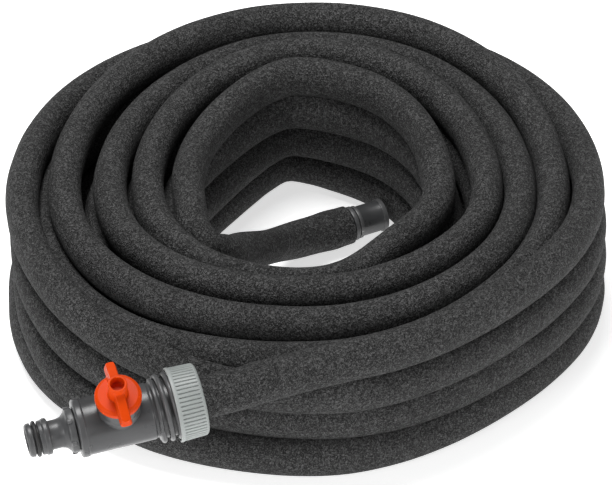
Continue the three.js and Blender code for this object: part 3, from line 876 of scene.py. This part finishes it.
NUT_LENGTH = 14.1
NUT_RIBS = 54
RIB_SAMPLES = 10
RIB_DEPTH = 0.55
RIB_START = 1.2
RIB_END = NUT_LENGTH - 1.8
RIB_RUN_IN = 0.7
RIB_RUN_OUT = 0.5
NUT_BORE_RADIUS = 10.7  # at the rear, round the hose
NUT_BACK_WALL = 2.7
NUT_INNER_RADIUS = 16.6
NUT_THREAD_TURNS = 2.5
NUT_THREAD_RADIUS = 16.3
NUT_THREAD_WIRE = 0.7
GROOVE_SLOPE = 0.13  # share of a rib's pitch
GROOVE_FLAT = 1.6
NUT_OUTSIDE = [
    (0, 14.6), (0.1, 15.5), (0.35, 16.2), (0.75, 16.75), (1.2, 17.1), (1.5, 17.2), (2.0, 17.25),
    (2.7, 17.3), (RIB_END - 0.7, 17.6), (RIB_END - 0.3, 17.65), (RIB_END, 17.7),
    (RIB_END + 0.2, 17.8), (NUT_LENGTH - 0.5, 17.9), (NUT_LENGTH - 0.12, 17.75), (NUT_LENGTH, 17.4),
]
NUT_INSIDE = [
    (NUT_LENGTH, 17.3), (NUT_LENGTH - 0.4, 17.15), (NUT_LENGTH - 1.4, 17.1),
    (NUT_LENGTH - 1.9, NUT_INNER_RADIUS), (NUT_BACK_WALL, NUT_INNER_RADIUS),
    (NUT_BACK_WALL, NUT_BORE_RADIUS + 0.2), (NUT_BACK_WALL - 0.2, NUT_BORE_RADIUS),
    (0, NUT_BORE_RADIUS),
]


def rib_depth(x, angle):
    """Depth of the narrow grooves between the nut's ribs."""
    if not RIB_START < x < RIB_END:
        return 0.0
    ends = min(1.0, (x - RIB_START) / RIB_RUN_IN, (RIB_END - x) / RIB_RUN_OUT)
    phase = (angle * NUT_RIBS / (2 * math.pi)) % 1
    groove = min(1.0, max(0.0, GROOVE_FLAT - abs(phase - 0.5) / GROOVE_SLOPE))
    return RIB_DEPTH * ends * groove


def clamp_nut():
    count = NUT_RIBS * RIB_SAMPLES
    rings = []
    for row, (x, radius) in enumerate(NUT_OUTSIDE + NUT_INSIDE):
        ribbed = row < len(NUT_OUTSIDE)
        ring = []
        for i in range(count):
            angle = 2 * math.pi * i / count
            r = radius - (rib_depth(x, angle) if ribbed else 0)
            ring.append((x, r * math.cos(angle), r * math.sin(angle)))
        rings.append(ring)
    piece = mesh_object("ribbed_clamp_nut", loft(rings, closed_loop=True))
    turns = NUT_THREAD_TURNS
    start = NUT_LENGTH - 0.9 - turns * CLAMP_PITCH
    phase = (start - CLAMP_THREAD_START) / CLAMP_PITCH + 0.5
    add(piece, ridge(start, turns, CLAMP_PITCH, NUT_THREAD_RADIUS, NUT_THREAD_WIRE, phase))
    return settle(reshade(piece), LIGHT, "nut", "light_grey_plastic", "clamp_nut", place=FITTING)


# ---- tail fitting, in its own millimetres --------------------------------------------------

FLANGE_START = -2.2
FLANGE_END = 0.3
CAP_START = 0.9
CAP_END = 16.9
CAP_PITCH = 2
CAP_RADIUS = 8
CAP_BEAD_RADIUS = CAP_RADIUS + 0.5
CAP_RIM_RADIUS = CAP_RADIUS + 0.6
CAP_INNER_RADIUS = 6.5
CAP_THREAD_TURNS = 2
CAP_THREAD_RADIUS = 6.25
CAP_THREAD_WIRE = 0.3
CAP_SEAL_INNER = 6.2
PLUG_THREAD_START = 2.2
PLUG_THREAD_TURNS = 4
PLUG_THREAD_RADIUS = 5.3
PLUG_THREAD_WIRE = 0.5
PLUG_BORE_RADIUS = 3.4
PLUG_START = -16
PLUG_END = 13.6
TEETH_ENDS = (-13, -9.5, -6)
TOOTH_RADIUS = 5.8
TOOTH_ROOT_RADIUS = 5.2
FLANGE_RADIUS = 9


def tail_plug():
    outline = [(PLUG_START, PLUG_BORE_RADIUS), (PLUG_START, 4.9)]
    for end in TEETH_ENDS:
        outline += [(end, TOOTH_RADIUS), (end + 0.2, TOOTH_ROOT_RADIUS)]
    outline += [(FLANGE_START - 0.9, TOOTH_ROOT_RADIUS), (FLANGE_START, 7.4)]
    outline += [(FLANGE_START + 0.2, FLANGE_RADIUS), (FLANGE_END - 0.2, FLANGE_RADIUS)]
    outline += [(FLANGE_END, FLANGE_RADIUS - 0.4), (FLANGE_END, PLUG_THREAD_RADIUS)]
    outline += [(PLUG_END - 0.6, PLUG_THREAD_RADIUS), (PLUG_END, PLUG_THREAD_RADIUS - 0.6)]
    outline += [(PLUG_END, PLUG_BORE_RADIUS)]
    piece = mesh_object("barbed_tail_plug", turned(outline, SMALL_ROUNDING))
    turns = PLUG_THREAD_TURNS
    add(piece, ridge(PLUG_THREAD_START, turns, CAP_PITCH, PLUG_THREAD_RADIUS, PLUG_THREAD_WIRE))
    return settle(reshade(piece), DARK, ROOT, "dark_plastic", "tail_plug", place=TAIL)


def end_cap_seal():
    ring = washer(FLANGE_END + 0.1, CAP_START - 0.1, CAP_SEAL_INNER, CAP_RADIUS)
    piece = mesh_object("flat_cap_seal", ring)
    return settle(piece, SEAL, "cap_thrust", "seal_rubber", "end_cap_seal", place=TAIL)


def end_cap():
    outline = [(CAP_START, CAP_INNER_RADIUS), (CAP_START, CAP_RIM_RADIUS)]
    outline += [(CAP_START + 1.7, CAP_RIM_RADIUS), (CAP_START + 1.9, CAP_RADIUS)]
    outline += [(CAP_END - 2.5, CAP_RADIUS), (CAP_END - 2.3, CAP_BEAD_RADIUS), (CAP_END, CAP_BEAD_RADIUS)]
    outline += [(CAP_END, 7.2), (CAP_END - 0.5, 6.8), (CAP_END - 0.5, 0)]
    outline += [(CAP_END - 2.6, 0), (CAP_END - 2.6, CAP_INNER_RADIUS)]
    piece = mesh_object("screw_end_cap", turned(outline, SMALL_ROUNDING))
    start = CAP_START + 1.2
    phase = (start - PLUG_THREAD_START) / CAP_PITCH + 0.5
    add(piece, ridge(start, CAP_THREAD_TURNS, CAP_PITCH, CAP_THREAD_RADIUS, CAP_THREAD_WIRE, phase))
    return settle(reshade(piece), DARK, "cap", "dark_plastic", "end_cap", place=TAIL)


# ---- carried-over CAD nodes ----------------------------------------------------------------

INSIDE_NODES = {
    "valve_core": WHITE,
    "core_retainer": WHITE,
    "grip_ring": WHITE,
    "hose_barb": GREY,
    "barb_seal": SEAL,
    "core_o_ring_upper": SEAL,
    "core_o_ring_lower": SEAL,
    "port_seal_inlet": SEAL,
    "port_seal_outlet": SEAL,
}


def dress_inside():
    for name, material in INSIDE_NODES.items():
        node = frame["nodes"][name]
        node.data.materials.clear()
        node.data.materials.append(material)


# ---- camera, floor and light ---------------------------------------------------------------

TARGET = Vector((-0.0004, 0.0108, 0.0485))
ELEVATION = math.radians(38)
CAMERA_DISTANCE = 2.1
LENS = 247.06
SENSOR_WIDTH = 36
NEAREST = 0.05
FURTHEST = 50
FLOOR_HALF = 6.0
FLOOR_DROP = 0.0002
FLOOR_GLOW = 0.70  # the paper is as white as the photo's background
WORLD_GLOW = 0.18
LIGHT_SIZE = 1.0
LIGHTS = {
    "overhead": ((-0.3, 0.35, 1.9), 34),
    "front_left": ((-1.4, -1.8, 0.95), 16),
    "front_right": ((1.5, -1.6, 0.8), 13),
}


def camera():
    data = bpy.data.cameras.new("camera")
    data.lens = LENS
    data.sensor_width = SENSOR_WIDTH
    result = bpy.data.objects.new("camera", data)
    back = Vector((0, -math.cos(ELEVATION), math.sin(ELEVATION)))
    result.location = TARGET + back * CAMERA_DISTANCE
    result.rotation_mode = "QUATERNION"
    result.rotation_quaternion = (-back).to_track_quat("-Z", "Y")
    data.clip_start, data.clip_end = NEAREST, FURTHEST
    bpy.context.scene.collection.objects.link(result)
    bpy.context.scene.camera = result


def floor():
    bm = bmesh.new()
    bmesh.ops.create_grid(bm, x_segments=1, y_segments=1, size=FLOOR_HALF)
    result = mesh_object("floor", bm)
    result.location.z = -FLOOR_DROP
    n = Nodes("floor_paper")
    tone = n.noise(3, 2)
    colour = n.ramp(tone, (0.3, grey(0.90)), (0.7, grey(0.93)))
    n.link(colour, n.shader.inputs["Emission Color"])
    n.shader.inputs["Emission Strength"].default_value = FLOOR_GLOW
    paper = n.finish(colour, n.span(tone, 0.85, 0.95), n.bump(tone, 0.02, 0.001))
    result.data.materials.append(paper)


def area_light(name, place, power):
    data = bpy.data.lights.new(name, "AREA")
    data.shape = "DISK"
    data.size = LIGHT_SIZE
    data.energy = power
    light = bpy.data.objects.new(name, data)
    light.location = place
    light.rotation_mode = "QUATERNION"
    light.rotation_quaternion = (Vector(place) - COIL_CENTRE).to_track_quat("Z", "Y")
    bpy.context.scene.collection.objects.link(light)


def lights():
    world = bpy.data.worlds.new("studio")
    world.use_nodes = True
    background = world.node_tree.nodes["Background"]
    background.inputs["Color"].default_value = (1, 1, 1, 1)
    background.inputs["Strength"].default_value = WORLD_GLOW
    bpy.context.scene.world = world
    bpy.context.scene.view_settings.view_transform = "Standard"
    for name, (place, power) in LIGHTS.items():
        area_light(name, place, power)


# ---- the scene -----------------------------------------------------------------------------

camera()
hose, hose_line, hose_length = soaker_hose()
spigot()
spigot_o_ring()
spigot_seal()
valve_housing()
valve_knob()
clamp_nut()
plug = tail_plug()
cap_seal = end_cap_seal()
cap = end_cap()
dress_inside()
floor()
lights()
